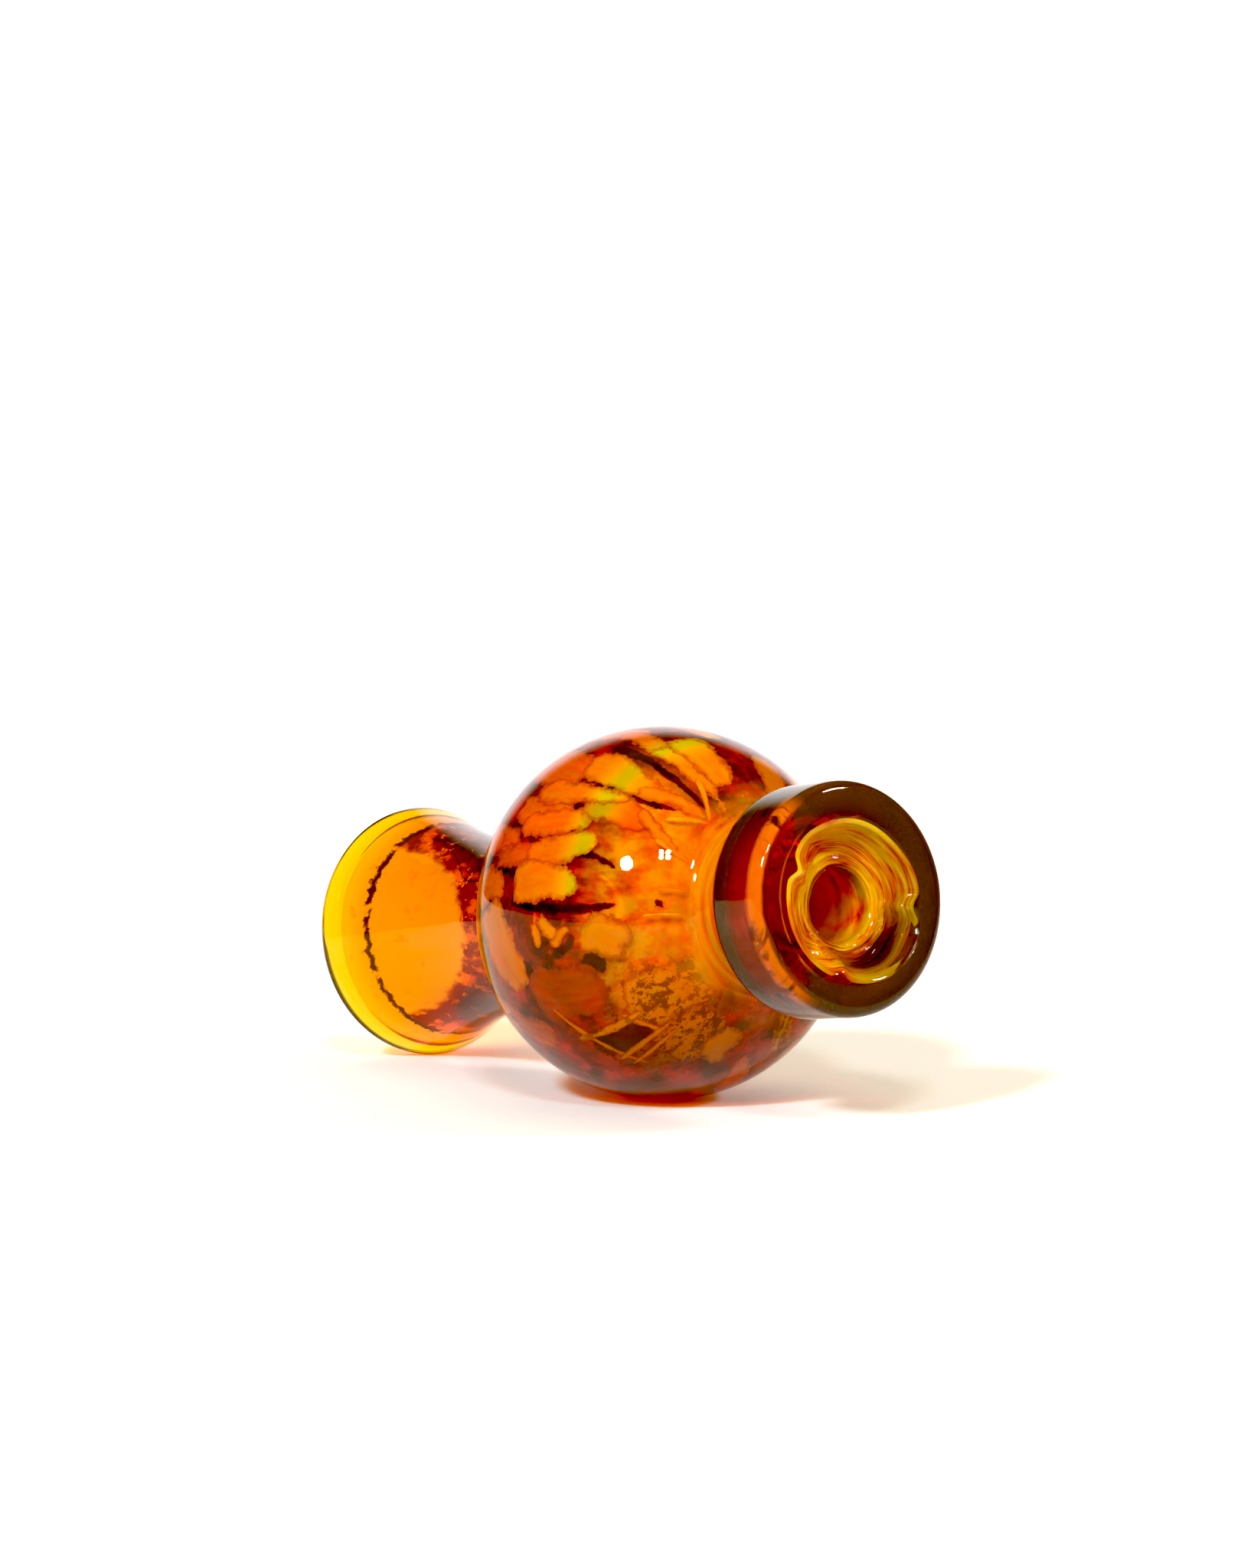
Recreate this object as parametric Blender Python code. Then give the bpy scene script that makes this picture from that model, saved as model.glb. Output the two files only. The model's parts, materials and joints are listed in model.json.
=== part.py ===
"""Blown glass bubble cap lying on its side: flared hollow stem, hollow cased bubble, solid neck, thick
collar and the three-lobed swirl in its mouth. Every piece is a ring about the cap's own axis, which is
tilted so that the bubble and the lip of the stem both touch the floor."""

import math

import bmesh
import bpy
import numpy as np

# Driving dimensions in millimetres. Axial positions run along the cap's axis from the centre of the
# bubble, positive towards the collar.
BUBBLE_R = 16.0
CASING_T = 1.3
LINING_T = 0.8
GAP = 0.3
LINING_HOLE_EXTRA = 0.4
STEM_WAIST_X = -20.5
STEM_WAIST_R = 7.55
STEM_FILLET = 3.0
STEM_CASING_T = 1.5
STEM_LINING_T = 0.9
FLARE_POWER = 1.8
LIP_END_X = -37.3
LIP_R = 11.3
LIP_ROUND = 1.2
LIP_ROOT_X = -33.5
NECK_R = 7.0
NECK_FILLET = 2.5
THROAT_R = 3.4
COLLAR_BACK_X = 18.6
COLLAR_FACE_X = 25.8
COLLAR_R = 9.65
COLLAR_BORE_R = 7.5
COLLAR_ROUND = 0.8
COLLAR_FILLET = 1.3
SWIRL_FUNNEL = 3.6
SWIRL_BEVEL = 0.25
SWIRL_RECESS = 0.1
MOUTH_LOW_R = 5.0
MOUTH_HIGH_R = 6.5
MOUTH_NOTCHES = (-9.0, -104.0, -207.0)
NOTCH_WIDTH = 14.0
SWIRL_TWIST = 45.0

SIDES = 40
SWIRL_SIDES = 60
MM = 0.001

AMBER = (0.80, 0.30, 0.03)
LEMON = (0.90, 0.62, 0.04)
RED_AMBER = (0.58, 0.13, 0.02)
DARK_AMBER = (0.30, 0.07, 0.02)


def clear_scene():
    for obj in list(bpy.data.objects):
        bpy.data.objects.remove(obj, do_unlink=True)


def glass(name, colour, roughness):
    mat = bpy.data.materials.new(name)
    mat.use_nodes = True
    shader = mat.node_tree.nodes["Principled BSDF"]
    shader.inputs["Base Color"].default_value = (*colour, 1.0)
    shader.inputs["Roughness"].default_value = roughness
    shader.inputs["Metallic"].default_value = 0.0
    mat.diffuse_color = (*colour, 1.0)
    return mat


def arc(cx, cr, radius, start, end, steps):
    """Points (x, r) on a circle about (cx, cr), from start to end in degrees, 0 along +x, 90 along +r."""
    angles = np.radians(np.linspace(start, end, steps + 1))
    return [(cx + radius * math.cos(a), cr + radius * math.sin(a)) for a in angles]


def polar_of(radius, r):
    return math.degrees(math.asin(r / radius))


def fillet_centre(waist, fillet, side):
    """Centre of the concave fillet between the bubble and a neck of radius waist."""
    height = waist + fillet
    return side * math.sqrt((BUBBLE_R + fillet) ** 2 - height**2), height


def flare(x):
    """Outer radius of the stem between its waist and the lip."""
    share = max(0.0, (STEM_WAIST_X - x) / (STEM_WAIST_X - (LIP_END_X + LIP_ROUND)))
    return STEM_WAIST_R + (LIP_R - STEM_WAIST_R) * share**FLARE_POWER


def flare_line(inset, x_from, x_to, steps):
    return [(x, flare(x) - inset) for x in np.linspace(x_from, x_to, steps + 1)]


def cut_polar(waist, fillet):
    """Polar angle at which the fillet leaves the bubble."""
    x, height = fillet_centre(waist, fillet, 1)
    return math.degrees(math.atan2(height, x))


def shell_loop(outer, thick, stem_polar, neck_polar, steps):
    """A spherical shell open at both ends, cut by cones from the bubble's centre."""
    out = arc(0, 0, outer, 180 - stem_polar, neck_polar, steps)
    inn = arc(0, 0, outer - thick, neck_polar, 180 - stem_polar, steps)
    return out + inn


def bubble_loops():
    gap_deg = math.degrees(GAP / (BUBBLE_R - CASING_T))
    stem_cut = cut_polar(STEM_WAIST_R, STEM_FILLET) + gap_deg
    neck_cut = cut_polar(NECK_R, NECK_FILLET) + gap_deg
    casing = shell_loop(BUBBLE_R, CASING_T, stem_cut, neck_cut, 13)
    lining_r = BUBBLE_R - CASING_T - GAP
    inner = lining_r - LINING_T
    stem_hole = STEM_WAIST_R - STEM_CASING_T - GAP - STEM_LINING_T + LINING_HOLE_EXTRA
    neck_polar = polar_of(inner, THROAT_R + LINING_HOLE_EXTRA)
    lining = shell_loop(lining_r, LINING_T, polar_of(inner, stem_hole), neck_polar, 14)
    return casing, lining


def stem_casing_loop():
    cx, cr = fillet_centre(STEM_WAIST_R, STEM_FILLET, -1)
    polar = cut_polar(STEM_WAIST_R, STEM_FILLET)
    bore = STEM_WAIST_R - STEM_CASING_T
    inner_r = BUBBLE_R - CASING_T
    end = LIP_ROOT_X + GAP
    root = arc(0, 0, inner_r, 180 - polar_of(inner_r, bore), 180 - polar, 2)
    fillet = arc(cx, cr, STEM_FILLET, -polar, -90, 4)
    outer = flare_line(0.0, STEM_WAIST_X, end, 6)
    inner = flare_line(STEM_CASING_T, end, STEM_WAIST_X, 6)
    return root + fillet + outer + inner


def stem_lining_loop():
    start = -math.sqrt((BUBBLE_R - CASING_T) ** 2 - (STEM_WAIST_R - STEM_CASING_T) ** 2) - 0.6
    end = LIP_ROOT_X + GAP
    inset = STEM_CASING_T + GAP
    outer = [(start, STEM_WAIST_R - inset)] + flare_line(inset, STEM_WAIST_X, end, 6)
    inset += STEM_LINING_T
    return outer + flare_line(inset, end, STEM_WAIST_X, 6) + [(start, STEM_WAIST_R - inset)]


def stem_lip_loop():
    """The plain end of the flare: full wall thickness, with a fire-polished rounded edge."""
    wall = STEM_CASING_T + GAP + STEM_LINING_T
    top = (LIP_END_X + LIP_ROUND, LIP_R - LIP_ROUND)
    outer = flare_line(0.0, LIP_ROOT_X, top[0], 3)
    edge = arc(*top, LIP_ROUND, 90, 270, 8)[1:]
    return outer + edge + [(LIP_ROOT_X - 0.9, flare(LIP_ROOT_X - 0.9) - wall)] + [
        (LIP_ROOT_X, flare(LIP_ROOT_X) - wall)]


def neck_loop():
    """The solid neck: it fills the step between the bubble's casing and its throat."""
    polar = cut_polar(NECK_R, NECK_FILLET)
    inner_r = BUBBLE_R - CASING_T
    throat_polar = polar_of(inner_r, THROAT_R + 0.7)
    root = arc(0, 0, inner_r, throat_polar, polar, 3)
    cx, cr = fillet_centre(NECK_R, NECK_FILLET, 1)
    fillet = arc(cx, cr, NECK_FILLET, 180 + polar, 270, 3)
    end = COLLAR_BACK_X - GAP
    back = arc(end - COLLAR_FILLET, NECK_R + COLLAR_FILLET, COLLAR_FILLET, -90, 0, 3)
    start = inner_r * math.cos(math.radians(throat_polar))
    return [(start + 0.5, THROAT_R)] + root + fillet + back + [(end, THROAT_R)]


def collar_loop():
    low, high = COLLAR_BACK_X, COLLAR_FACE_X
    back = arc(low + COLLAR_ROUND, COLLAR_R - COLLAR_ROUND, COLLAR_ROUND, 180, 90, 3)
    front = arc(high - COLLAR_ROUND, COLLAR_R - COLLAR_ROUND, COLLAR_ROUND, 90, 0, 3)
    return [(low, COLLAR_BORE_R)] + back + front + [(high, COLLAR_BORE_R)]


def ring_angles(sides):
    """Angles about the axis with a flat, not an edge, at the bottom."""
    return -math.pi / 2 + (np.arange(sides) + 0.5) * 2 * math.pi / sides


def revolve(loop):
    """Vertices and faces of a loop of (x, r) turned about the axis, x first."""
    angles = ring_angles(SIDES)
    verts = [(x, r * math.cos(a), r * math.sin(a)) for x, r in loop for a in angles]
    return verts, quads(len(loop), SIDES)


def quads(rows, sides):
    faces = []
    for i in range(rows):
        k = (i + 1) % rows
        for j in range(sides):
            n = (j + 1) % sides
            faces.append((i * sides + j, k * sides + j, k * sides + n, i * sides + n))
    return faces


def mouth_radius(angle):
    """Radius of the pinched mouth: it grows clockwise from each notch and steps back in at the next."""
    degrees = math.degrees(angle)
    notches = sorted(n % 360 for n in MOUTH_NOTCHES)
    place = degrees % 360
    above = [n for n in notches if n > place] or [notches[0] + 360]
    below = [n for n in notches if n <= place] or [notches[-1] - 360]
    span = above[0] - below[-1]
    share = (above[0] - place) / span
    step = min(1.0, (place - below[-1]) / NOTCH_WIDTH)
    grow = MOUTH_LOW_R + (MOUTH_HIGH_R - MOUTH_LOW_R) * math.sin(share * math.pi / 2) ** 0.8
    return MOUTH_LOW_R + (grow - MOUTH_LOW_R) * step


def swirl():
    """The ring in the collar's mouth: a plain outside and a lobed, twisting funnel inside."""
    back, face = COLLAR_BACK_X, COLLAR_FACE_X - SWIRL_RECESS
    outer = COLLAR_BORE_R - GAP
    angles = ring_angles(SWIRL_SIDES)
    rows = [(back, outer, None), (face, outer, None)]
    depths = (0.0, 0.06, 0.2, 0.4, 0.6, 0.8, 1.0)
    for share in depths:
        rows.append((face - SWIRL_FUNNEL * share, None, share))
    rows.append((back, THROAT_R, None))
    verts = []
    for x, r, share in rows:
        for a in angles:
            if share is not None:
                lobed = mouth_radius(a + math.radians(SWIRL_TWIST * share))
                r = THROAT_R + (lobed - THROAT_R) * (1 - share) ** 1.3
                r += SWIRL_BEVEL * max(0.0, 1 - share / depths[1])
            verts.append((x, r * math.cos(a), r * math.sin(a)))
    return verts, quads(len(rows), SWIRL_SIDES)


def rest_pose(bubble, lip):
    """Tilt of the axis at which the bubble and the lip stand equally low, and that lowest height."""
    def lowest(points, tilt):
        return min(x * math.sin(tilt) + z * math.cos(tilt) for x, _, z in points)

    low, high = 0.0, math.radians(20.0)
    for _ in range(60):
        tilt = (low + high) / 2
        if lowest(lip, tilt) > lowest(bubble, tilt):
            low = tilt
        else:
            high = tilt
    return tilt, lowest(bubble, tilt)


def add_node(name, verts, faces, material):
    mesh = bpy.data.meshes.new(name)
    mesh.from_pydata(verts, [], faces)
    work = bmesh.new()
    work.from_mesh(mesh)
    bmesh.ops.recalc_face_normals(work, faces=work.faces)
    work.to_mesh(mesh)
    work.free()
    mesh.polygons.foreach_set("use_smooth", [True] * len(mesh.polygons))
    mesh.materials.append(material)
    obj = bpy.data.objects.new(name, mesh)
    bpy.context.scene.collection.objects.link(obj)


def main():
    clear_scene()
    casing, lining = bubble_loops()
    pieces = {
        "stem_lip": (revolve(stem_lip_loop()), glass("lemon_lip_glass", LEMON, 0.05)),
        "stem_casing": (revolve(stem_casing_loop()), glass("amber_stem_glass", AMBER, 0.04)),
        "stem_lining": (revolve(stem_lining_loop()), glass("patterned_stem_glass", RED_AMBER, 0.12)),
        "bubble_casing": (revolve(casing), glass("clear_amber_bubble_glass", AMBER, 0.03)),
        "bubble_lining": (revolve(lining), glass("patterned_bubble_glass", RED_AMBER, 0.12)),
        "neck": (revolve(neck_loop()), glass("deep_amber_neck_glass", DARK_AMBER, 0.04)),
        "collar": (revolve(collar_loop()), glass("dark_amber_collar_glass", DARK_AMBER, 0.03)),
        "mouth_swirl": (swirl(), glass("streaked_swirl_glass", AMBER, 0.06)),
    }
    tilt, bottom = rest_pose(pieces["bubble_casing"][0][0], pieces["stem_lip"][0][0])
    turned = {}
    for name, ((verts, _), _) in pieces.items():
        pts = np.array(verts)
        x = pts[:, 0] * math.cos(tilt) - pts[:, 2] * math.sin(tilt)
        z = pts[:, 0] * math.sin(tilt) + pts[:, 2] * math.cos(tilt) - bottom
        turned[name] = np.stack([x, pts[:, 1], z], axis=1)
    every_x = np.concatenate([pts[:, 0] for pts in turned.values()])
    middle = (every_x.min() + every_x.max()) / 2
    for name, ((_, faces), material) in pieces.items():
        pts = (turned[name] - [middle, 0.0, 0.0]) * MM
        add_node(name, pts.tolist(), faces, material)
    print(f"tilt {math.degrees(tilt):.3f} deg, centre of bubble at x {-middle:.3f} mm, z {-bottom:.3f} mm")


main()
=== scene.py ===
"""Looks of the blown glass bubble cap.

One fused body of amber glass, whose colour comes from how far light travels in it, with the patterned layers
sealed in its wall as thin sheets.
"""

import json
import math

import bpy
import numpy as np
from mathutils import Matrix, Vector


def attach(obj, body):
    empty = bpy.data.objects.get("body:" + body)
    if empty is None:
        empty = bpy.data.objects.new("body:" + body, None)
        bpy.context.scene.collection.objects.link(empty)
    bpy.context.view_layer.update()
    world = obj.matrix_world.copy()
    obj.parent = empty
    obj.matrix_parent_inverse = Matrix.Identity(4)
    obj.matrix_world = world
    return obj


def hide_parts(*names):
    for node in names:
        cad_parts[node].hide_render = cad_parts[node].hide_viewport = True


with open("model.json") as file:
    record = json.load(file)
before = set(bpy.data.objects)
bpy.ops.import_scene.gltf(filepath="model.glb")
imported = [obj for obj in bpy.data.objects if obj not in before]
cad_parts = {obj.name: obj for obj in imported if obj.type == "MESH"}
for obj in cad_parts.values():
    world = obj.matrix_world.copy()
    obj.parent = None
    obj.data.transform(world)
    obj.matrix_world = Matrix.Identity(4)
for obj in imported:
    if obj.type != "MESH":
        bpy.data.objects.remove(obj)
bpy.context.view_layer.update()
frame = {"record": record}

# Sizes in millimetres. X lies along the cap's axis, from the centre of the bubble, as in the CAD model.
BUBBLE_R = 16.0
INNER_R = 13.6
GROUND_R = 14.2
STROKE_R = 14.34
NECK_FILM_DEPTH = 0.6
NECK_FILM_ENDS = (18.2, 19.2)
STEM_WAIST_X = -20.5
STEM_WAIST_R = 7.55
STEM_FILLET = 3.0
STEM_WALL = 2.7
STEM_FILM_DEPTH = 1.7
STEM_FILM_ENDS = (-35.6, -14.4)
FLARE_POWER = 1.8
FLARE_THIN_X = -32.0
FLARE_THINNING = 0.3
LIP_X = -36.1
LIP_R = 11.3
LIP_ROUND = 1.2
NECK_R = 7.0
NECK_FILLET = 2.5
THROAT_R = 3.4
THROAT_X = 19.6
COLLAR_BACK_X = 18.6
COLLAR_FACE_X = 25.8
COLLAR_R = 9.65
COLLAR_FILLET = 1.3
COLLAR_BACK_ROUND = 1.6
COLLAR_FRONT_ROUND = 0.9
FACE_INNER_R = 7.3
THROAT_SHOULDER = 1.2
STEM_SHOULDER = 1.5
SIDES = 288
MM = 0.001

MOUNT = next(m for m in frame["record"]["mounts"] if m["name"] == "collar_face")
AXIS = Vector(MOUNT["axis"]).normalized()
SIDE = Vector((0.0, 1.0, 0.0))
RISE = AXIS.cross(SIDE)
FACE = Vector((MOUNT["pos_m"][0], 0.0, MOUNT["pos_m"][2]))
CENTRE = FACE - AXIS * (COLLAR_FACE_X * MM)
CAP_FRAME = Matrix.Translation(CENTRE) @ Matrix((AXIS, SIDE, RISE)).transposed().to_4x4()


# ---------------------------------------------------------------- turned shapes

def arc(cx, cr, radius, start, end, steps):
    angles = np.radians(np.linspace(start, end, steps + 1))
    return [(cx + radius * math.cos(a), cr + radius * math.sin(a)) for a in angles]


def flare(x):
    """Outer radius of the stem, which widens from its waist to the lip."""
    share = max(0.0, (STEM_WAIST_X - x) / (STEM_WAIST_X - LIP_X))
    return STEM_WAIST_R + (LIP_R - STEM_WAIST_R) * share**FLARE_POWER


def flare_line(inset, x_from, x_to, steps):
    return [(x, flare(x) - inset(x)) for x in np.linspace(x_from, x_to, steps + 1)]


def flare_wall(x):
    """Thickness of the stem, which is a little less beside the lip."""
    return STEM_WALL - FLARE_THINNING * max(0.0, (x - FLARE_THIN_X) / (LIP_X - FLARE_THIN_X))


def blend_arc(sphere, bore, fillet, side):
    """Centre and polar angle of the arc that joins a sphere to a neck of radius bore."""
    height = bore + fillet
    reach = math.sqrt((sphere + fillet) ** 2 - height**2)
    return side * reach, height, math.degrees(math.atan2(height, reach))


def outer_profile():
    """From the tip of the lip, over the outside, to the inner edge of the flat collar face."""
    sx, sr, stem_polar = blend_arc(BUBBLE_R, STEM_WAIST_R, STEM_FILLET, -1)
    nx, nr, neck_polar = blend_arc(BUBBLE_R, NECK_R, NECK_FILLET, 1)
    back, front = COLLAR_BACK_ROUND, COLLAR_FRONT_ROUND
    root_x = COLLAR_BACK_X - COLLAR_FILLET
    line = arc(LIP_X, LIP_R - LIP_ROUND, LIP_ROUND, 180, 90, 10)[:-1]
    line += flare_line(lambda x: 0.0, LIP_X, STEM_WAIST_X, 40)[:-1]
    line += [(x, STEM_WAIST_R) for x in np.linspace(STEM_WAIST_X, sx, 8)][:-1]
    line += arc(sx, sr, STEM_FILLET, -90, -stem_polar, 12)[:-1]
    line += arc(0, 0, BUBBLE_R, 180 - stem_polar, neck_polar, 84)[:-1]
    line += arc(nx, nr, NECK_FILLET, 180 + neck_polar, 270, 12)[:-1]
    line += [(x, NECK_R) for x in np.linspace(nx, root_x, 6)][:-1]
    line += arc(root_x, NECK_R + COLLAR_FILLET, COLLAR_FILLET, -90, 0, 8)[:-1]
    line += arc(COLLAR_BACK_X + back, COLLAR_R - back, back, 180, 90, 12)[:-1]
    line += [(x, COLLAR_R) for x in np.linspace(COLLAR_BACK_X + back, COLLAR_FACE_X - front, 8)][:-1]
    line += arc(COLLAR_FACE_X - front, COLLAR_R - front, front, 90, 0, 12)[:-1]
    return line + [(COLLAR_FACE_X, r) for r in np.linspace(COLLAR_R - front, FACE_INNER_R, 6)]


def inner_profile():
    """From the throat, over the inside of the bubble and the bore of the stem, to the lip."""
    bore = STEM_WAIST_R - STEM_WALL
    tx, tr, throat_polar = blend_arc(INNER_R, THROAT_R, THROAT_SHOULDER, 1)
    sx, sr, stem_polar = blend_arc(INNER_R, bore, STEM_SHOULDER, -1)
    line = [(x, THROAT_R) for x in np.linspace(THROAT_X, tx, 16)][:-1]
    line += arc(tx, tr, THROAT_SHOULDER, 270, 180 + throat_polar, 8)[:-1]
    line += arc(0, 0, INNER_R, throat_polar, 180 - stem_polar, 84)[:-1]
    line += arc(sx, sr, STEM_SHOULDER, 360 - stem_polar, 270, 8)[:-1]
    line += [(x, bore) for x in np.linspace(sx, STEM_WAIST_X, 10)][:-1]
    line += flare_line(flare_wall, STEM_WAIST_X, LIP_X, 36)[:-1]
    return line + arc(LIP_X, LIP_R - LIP_ROUND, LIP_ROUND, 270, 180, 10)[:-1]


def angles():
    return np.arange(SIDES) * 2 * math.pi / SIDES


def circle(x, radius, theta):
    """One ring (x, y, w) about the axis, at each angle of theta."""
    return np.full(SIDES, x), radius * np.cos(theta), radius * np.sin(theta)


def wobble(x, theta, seed):
    """Slow unevenness of hand-worked glass, in millimetres."""
    value = np.sin(2 * theta + 0.11 * x + seed) + 0.6 * np.sin(3 * theta - 0.23 * x + 2.1 * seed)
    return value + 0.5 * np.sin(0.45 * x + theta + 3.7 * seed)


def profile_rings(line, amount, seed):
    """Rings (x, y, w) of a turned line, made uneven by the given amount."""
    theta = angles()
    rings = []
    for x, r in line:
        radius = r + amount * wobble(x, theta, seed)
        rings.append(circle(x, radius, theta))
    return rings


def grid_mesh(name, rings, closed):
    """A mesh through rings of SIDES points each, in metres in the cap's own frame."""
    points = np.stack([np.stack(r, axis=1) for r in rings]).reshape(-1, 3) * MM
    rows = len(rings)
    faces = []
    for i in range(rows if closed else rows - 1):
        a, b = i * SIDES, (i + 1) % rows * SIDES
        for j in range(SIDES):
            k = (j + 1) % SIDES
            faces.append((a + j, a + k, b + k, b + j))
    return smooth_mesh(name, points, faces)


def smooth_mesh(name, points, faces):
    mesh = bpy.data.meshes.new(name)
    mesh.from_pydata(points.tolist(), [], faces)
    mesh.polygons.foreach_set("use_smooth", [True] * len(faces))
    mesh.update()
    return mesh


def set_values(mesh, key, kind, values):
    """Stores a value for each point, which the piece's material reads."""
    layer = mesh.attributes.new(key, kind, "POINT")
    field = "vector" if kind == "FLOAT_VECTOR" else "value"
    layer.data.foreach_set(field, values.ravel().astype(np.float32))


def add_piece(name, mesh, material, slot, *nodes):
    """A piece of the cap, turned from the cap's frame into the row's, for the CAD nodes that it replaces."""
    mesh.transform(CAP_FRAME)
    obj = bpy.data.objects.new(name, mesh)
    bpy.context.scene.collection.objects.link(obj)
    mesh.materials.append(material)
    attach(obj, "root")
    if nodes:
        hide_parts(*nodes)


# ---------------------------------------------------------------- the pinched mouth

# Where the mouth was pinched: angle in degrees, and depth of the notch in millimetres.
NOTCHES = ((-9.0, 0.75), (-104.0, 0.45), (153.0, 0.75))
NOTCH_WIDTH = 6.5
# Where the mouth's edge bulges: height, angle and width.
BULGES = ((1.05, -42, 42), (0.45, 8, 26), (0.2, 130, 16))
MOUTH_R = 6.05
EDGE_ROUND = 0.25
FUNNEL_STEPS = 64
FUNNEL_DEPTH = 2.4
FUNNEL_TWIST = -38.0
RIDGE_DEPTH = 0.42
RIDGE_TURNS = 4.5
PETAL_SOFT = 0.14
PETAL_RISE = 0.55
PETAL_START = 0.25
PETAL_STEP = 1.0
HOLE_R = 3.15
HOLE_SHIFT = (0.75, -0.45)
MOUTH_FILM_DEPTH = 0.25
MOUTH_FILM_EDGE = 0.30
MOUTH_FILM_THROAT = (19.0, 17.0, 15.0)


def bump(theta, centre, width):
    """1 at an angle in degrees, falling to 0 over width on both sides."""
    away = np.degrees(np.angle(np.exp(1j * (theta - math.radians(centre)))))
    return np.exp(-((away / width) ** 2))


def clip(value):
    return min(1.0, max(0.0, value))


def mouth_edge(theta):
    """Radius of the pinched mouth in the collar's face."""
    radius = MOUTH_R
    for height, centre, width in BULGES:
        radius = radius + height * bump(theta, centre, width)
    for notch, depth in NOTCHES:
        radius = radius - depth * bump(theta, notch, NOTCH_WIDTH)
    return radius


def petal_share(theta, turn):
    """How far round its petal each angle lies, clockwise from 0 at one ridge to 1 at the next."""
    ridges = sorted((notch + turn) % 360 for notch, _ in NOTCHES)
    place = np.degrees(theta) % 360
    share = np.zeros_like(place)
    for i, high in enumerate(ridges):
        low = ridges[i - 1] - (360 if i == 0 else 0)
        for shift in (0, 360):
            inside = (place >= low + shift) & (place < high + shift)
            share[inside] = (high + shift - place[inside]) / (high - low)
    return share


def step_down(share, soft):
    """Just after a ridge 1, just before the next 0, and softened across the ridge itself."""
    fall = 1 - share
    return fall * np.minimum(1, share / soft)


def ridges(theta, s):
    """Narrow ridges that wind inwards round the funnel, strongest where the glass was pinched."""
    broad = (np.sin(theta + 2 * math.pi * RIDGE_TURNS * s) * 0.5 + 0.5) ** 2
    thin = (np.sin(2 * theta + 2 * math.pi * 2.3 * RIDGE_TURNS * s) * 0.5 + 0.5) ** 3
    return (broad + 0.5 * thin) * (0.55 + 0.45 * np.sin(2 * theta + 5 * s + 0.6))


def funnel_ring(theta, edge, s):
    """One ring of the three-lobed funnel, from s = 0 in the collar's face to s = 1 at the hole."""
    step = step_down(petal_share(theta, FUNNEL_TWIST * s), PETAL_SOFT)
    swell = math.sin(math.pi * min(1.0, s * 1.15 + 0.04))
    r = edge * (1 - s) + HOLE_R * s
    r = r + PETAL_RISE * swell * (step - 0.4)
    depth = 0.12 + FUNNEL_DEPTH * (1 - (1 - s) ** 1.5) + (PETAL_START + PETAL_STEP * swell) * step
    depth = depth + RIDGE_DEPTH * ridges(theta, s) * min(1.0, 3 * s)
    y = r * np.cos(theta) + HOLE_SHIFT[0] * s
    w = r * np.sin(theta) + HOLE_SHIFT[1] * s
    return COLLAR_FACE_X - depth, y, w


def funnel_rings(theta, edge):
    """Rings of the funnel, and of the passage from its hole to the round throat."""
    rings = [funnel_ring(theta, edge, s) for s in np.linspace(0, 1, FUNNEL_STEPS)]
    start = rings[-1]
    for s in np.linspace(0.12, 0.92, 8):
        ease = s * s * (3 - 2 * s)
        x = start[0] * (1 - s) + THROAT_X * s
        y = start[1] * (1 - ease) + THROAT_R * np.cos(theta) * ease
        w = start[2] * (1 - ease) + THROAT_R * np.sin(theta) * ease
        rings.append((x, y, w))
    return rings


def mouth_rings():
    """Rings of the flat face inside FACE_INNER_R, then of the funnel."""
    theta = angles()
    edge = mouth_edge(theta)
    rings = []
    for share in (0.5, 0.85):
        r = FACE_INNER_R + (edge + EDGE_ROUND - FACE_INNER_R) * share
        rings.append(circle(COLLAR_FACE_X, r, theta))
    return rings + funnel_rings(theta, edge)


# ---------------------------------------------------------------- materials

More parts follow.
